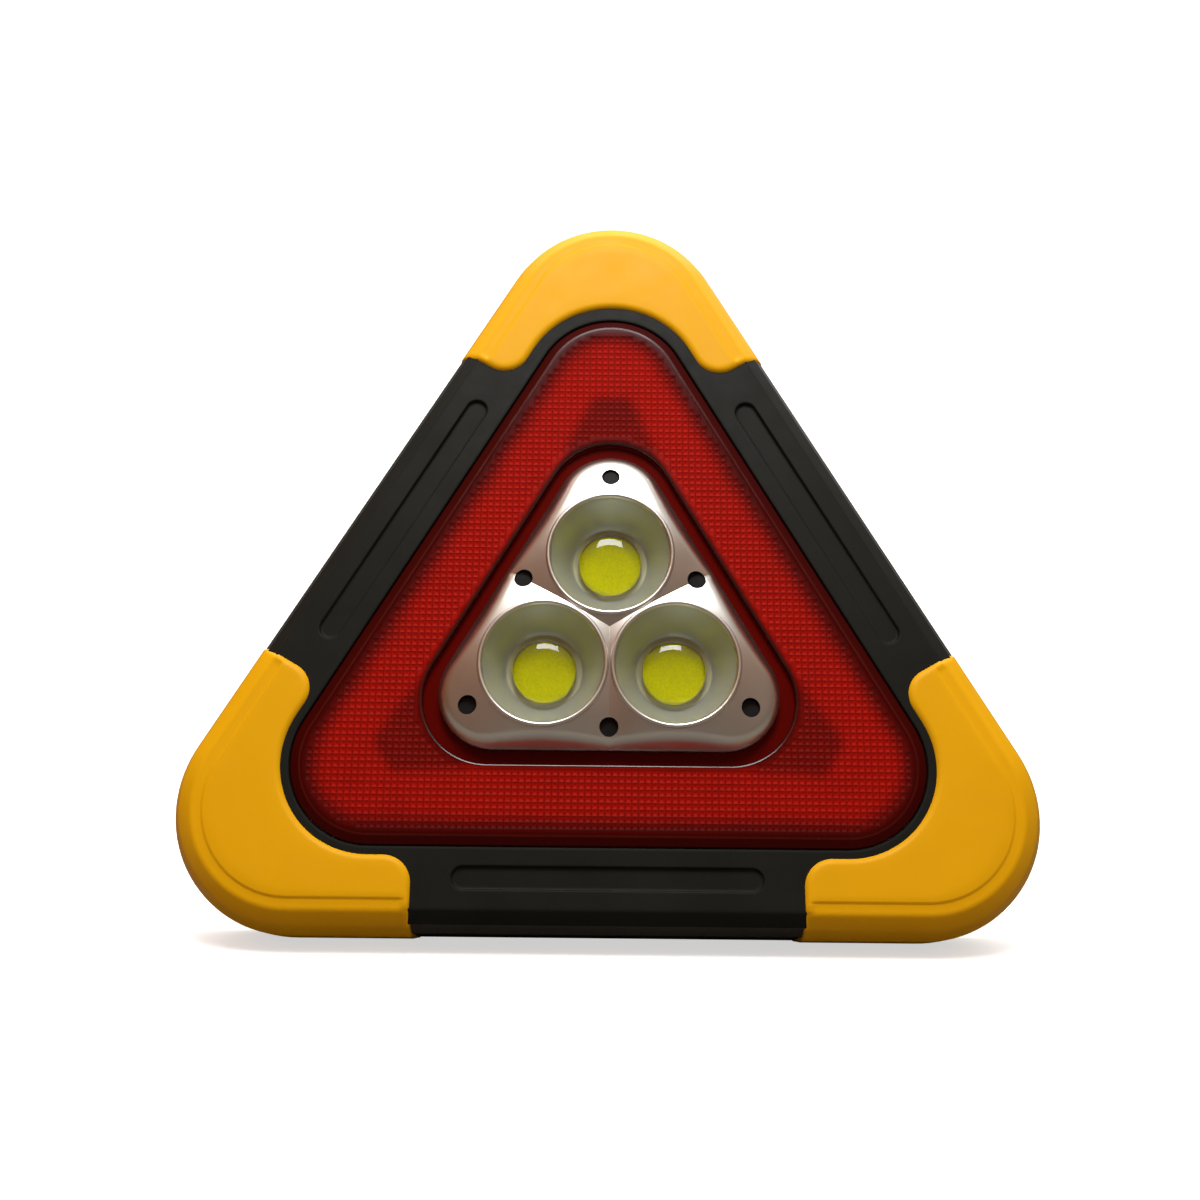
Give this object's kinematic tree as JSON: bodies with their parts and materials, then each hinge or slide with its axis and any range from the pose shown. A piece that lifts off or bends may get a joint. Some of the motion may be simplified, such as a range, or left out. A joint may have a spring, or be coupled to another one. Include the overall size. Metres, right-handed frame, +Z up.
{
  "type": "warning triangle lamp",
  "caption": "Battery work lamp shaped as a warning triangle: black case, yellow corner bumpers, red prismatic ring, white LED cups and a swinging stand that is also its handle.",
  "frame": {"origin": "on the floor, under the middle of the standing lamp's box", "axes": "+Z up; +X to the right of the lamp as its face is seen, along its width; the face looks towards -Y and leans back from upright"},
  "size_m": [0.2736, 0.1296, 0.2421],
  "materials": {
    "frame_black": "satin moulded plastic, fine texture",
    "shell_black": "satin moulded plastic, fine texture",
    "bumper_yellow": "soft satin yellow plastic",
    "screw_black": "black oxide",
    "screw_steel": "zinc plated",
    "seal_rubber": "matte",
    "grip_rubber": "matte, ribbed",
    "lens_red": "clear red prismatic plastic",
    "tray_white": "white moulded plastic",
    "board_white": "white solder mask",
    "led_red": "diffused red",
    "reflector_silver": "vacuum metallised plastic, satin",
    "lens_clear": "clear moulded plastic",
    "phosphor_yellow": "silicone phosphor",
    "aluminium": "bare sheet",
    "board_green": "green solder mask",
    "electronics_black": "moulded",
    "contact_metal": "nickel plated",
    "button_rubber": "red silicone",
    "box_black": "moulded",
    "cell_wrap": "shrink wrap",
    "stand_black": "satin moulded plastic",
    "wire_red": "PVC",
    "wire_black": "PVC"
  },
  "bodies": {
    "lamp": {"front_frame": "frame_black", "back_shell": "shell_black", "pivot_blocks": "shell_black", "pivot_block_screws": "screw_steel", "case_gasket": "seal_rubber", "case_screws": "screw_black", "bumper_top": "bumper_yellow", "bumper_left": "bumper_yellow", "bumper_right": "bumper_yellow", "bumper_screws": "screw_black", "red_lens": "lens_red", "lens_gasket": "seal_rubber", "light_tray": "tray_white", "tray_screws": "screw_steel", "led_strip_right": "board_white", "led_strip_left": "board_white", "led_strip_lower": "board_white", "red_leds": "led_red", "reflector_plate": "reflector_silver", "reflector_cups": "reflector_silver", "reflector_screws": "screw_black", "cob_dome_top": "lens_clear", "cob_dome_left": "lens_clear", "cob_dome_right": "lens_clear", "cob_emitter_top": "phosphor_yellow", "cob_emitter_left": "phosphor_yellow", "cob_emitter_right": "phosphor_yellow", "cob_board_top": "aluminium", "cob_board_left": "aluminium", "cob_board_right": "aluminium", "heat_sink": "aluminium", "heat_sink_screws": "screw_steel", "main_board": "board_green", "board_parts": "electronics_black", "board_screws": "screw_steel", "tact_switch": "electronics_black", "port_board": "board_green", "usb_socket": "contact_metal", "charge_socket": "contact_metal", "charge_indicator": "lens_clear", "battery_box": "box_black", "battery_box_screws": "screw_steel", "battery_cell_lower": "cell_wrap", "battery_cell_middle": "cell_wrap", "battery_cell_upper": "cell_wrap", "battery_plates": "contact_metal", "battery_springs": "contact_metal", "battery_cover_pin": "screw_steel", "port_cover_pin": "screw_steel", "pivot_screws": "screw_steel", "pivot_washers": "screw_steel", "battery_wire_plus": "wire_red", "battery_wire_minus": "wire_black", "lamp_wire": "wire_black", "port_wire": "wire_red"},
    "stand": {"stand_bracket": "stand_black", "stand_grip": "grip_rubber"},
    "button": {"power_button": "button_rubber"},
    "hatch": {"battery_cover": "shell_black"},
    "port_flap": {"port_cover": "shell_black"}
  },
  "joints": [
    {"name": "stand_swing", "type": "hinge", "parent": "lamp", "child": "stand", "pos_m": [0, 0.01712, 0.13458], "axis": [1, 0, 0], "range_deg": [-34.5, 143]},
    {"name": "power_press", "type": "slide", "parent": "lamp", "child": "button", "axis": [0, -0.9578, 0.2874], "range_m": [0, 0.0012], "stiffness_N_per_m": 400, "springref_m": -0.0005},
    {"name": "battery_cover_swing", "type": "hinge", "parent": "lamp", "child": "hatch", "pos_m": [0, -0.00865, 0.07654], "axis": [1, 0, 0], "range_deg": [0, 110]},
    {"name": "port_cover_swing", "type": "hinge", "parent": "lamp", "child": "port_flap", "pos_m": [0.07121, -0.00212, 0.15398], "axis": [0, -0.9578, 0.2874], "range_deg": [0, 100]}
  ]
}
